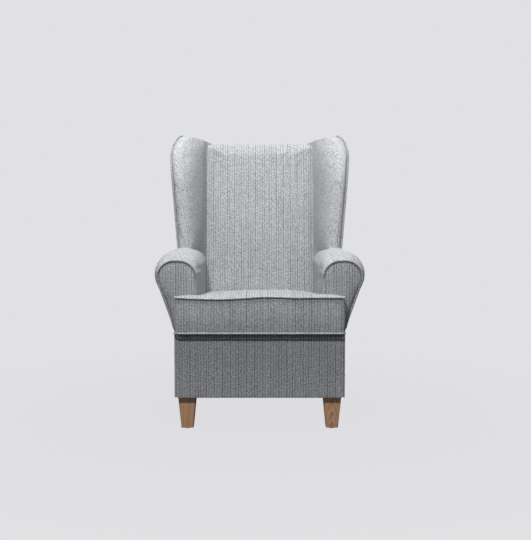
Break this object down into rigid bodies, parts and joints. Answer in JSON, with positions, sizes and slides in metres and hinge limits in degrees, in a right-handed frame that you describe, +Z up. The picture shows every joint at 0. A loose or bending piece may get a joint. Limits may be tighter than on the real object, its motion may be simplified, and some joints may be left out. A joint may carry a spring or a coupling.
{
  "type": "wingback armchair",
  "caption": "Wingback armchair with rolled arms, a loose T-shaped seat cushion, pinstriped light grey cover, corded edges and tapered wooden legs.",
  "frame": {"origin": "on the floor, in the middle of the chair's width and depth", "axes": "+X to the right side of the chair as seen from the front, -Y towards the front of the seat, +Z up"},
  "size_m": [0.7918, 0.8088, 1.1],
  "materials": {
    "cover_fabric": "matte",
    "leg_wood": "satin",
    "frame_timber": "matte",
    "foam": "matte",
    "felt": "matte",
    "deck_cloth": "matte",
    "webbing": "matte",
    "dust_cloth": "matte",
    "steel": "satin",
    "zip_metal": "satin",
    "zip_tape": "matte",
    "glide_plastic": "matte"
  },
  "bodies": {
    "chair": {"arm_front_boards": "frame_timber", "arm_front_pads": "foam", "arm_rear_panels": "cover_fabric", "arm_tack_rails": "frame_timber", "arm_top_rails": "frame_timber", "back_cover": "cover_fabric", "back_foam": "foam", "back_lower_rail": "frame_timber", "back_top_rail": "frame_timber", "back_webbing": "webbing", "corner_blocks": "frame_timber", "deck_cover": "deck_cloth", "deck_felt": "felt", "deck_foam": "foam", "dust_cover": "dust_cloth", "dust_cover_staples": "steel", "front_apron": "cover_fabric", "front_left_leg": "leg_wood", "front_rail": "frame_timber", "front_right_leg": "leg_wood", "left_arm_cover": "cover_fabric", "left_arm_foam": "foam", "left_arm_front_panel": "cover_fabric", "left_arm_front_welt": "cover_fabric", "left_back_post": "frame_timber", "left_side_panel": "cover_fabric", "left_side_rail": "frame_timber", "left_wing_cover": "cover_fabric", "left_wing_foam": "foam", "left_wing_frame": "frame_timber", "left_wing_outer_panel": "cover_fabric", "left_wing_welt": "cover_fabric", "leg_bolts": "steel", "leg_glides": "glide_plastic", "leg_tee_nuts": "steel", "outer_back_panel": "cover_fabric", "rear_left_leg": "leg_wood", "rear_lower_rail": "frame_timber", "rear_right_leg": "leg_wood", "rear_spring_rail": "frame_timber", "right_arm_cover": "cover_fabric", "right_arm_foam": "foam", "right_arm_front_panel": "cover_fabric", "right_arm_front_welt": "cover_fabric", "right_back_post": "frame_timber", "right_side_panel": "cover_fabric", "right_side_rail": "frame_timber", "right_wing_cover": "cover_fabric", "right_wing_foam": "foam", "right_wing_frame": "frame_timber", "right_wing_outer_panel": "cover_fabric", "right_wing_welt": "cover_fabric", "seat_springs": "steel", "spring_clips": "steel"},
    "seat_cushion": {"seat_cushion_cover": "cover_fabric", "seat_cushion_foam": "foam", "seat_cushion_welts": "cover_fabric", "cushion_zip": "zip_tape"},
    "zip_slider": {"zip_slider": "zip_metal"}
  },
  "joints": [
    {"name": "cushion_lift", "type": "slide", "parent": "chair", "child": "seat_cushion", "axis": [0, 0, 1], "range_m": [0, 0.8]},
    {"name": "zip_slide", "type": "slide", "parent": "seat_cushion", "child": "zip_slider", "axis": [1, 0, 0], "range_m": [0, 0.34]}
  ]
}
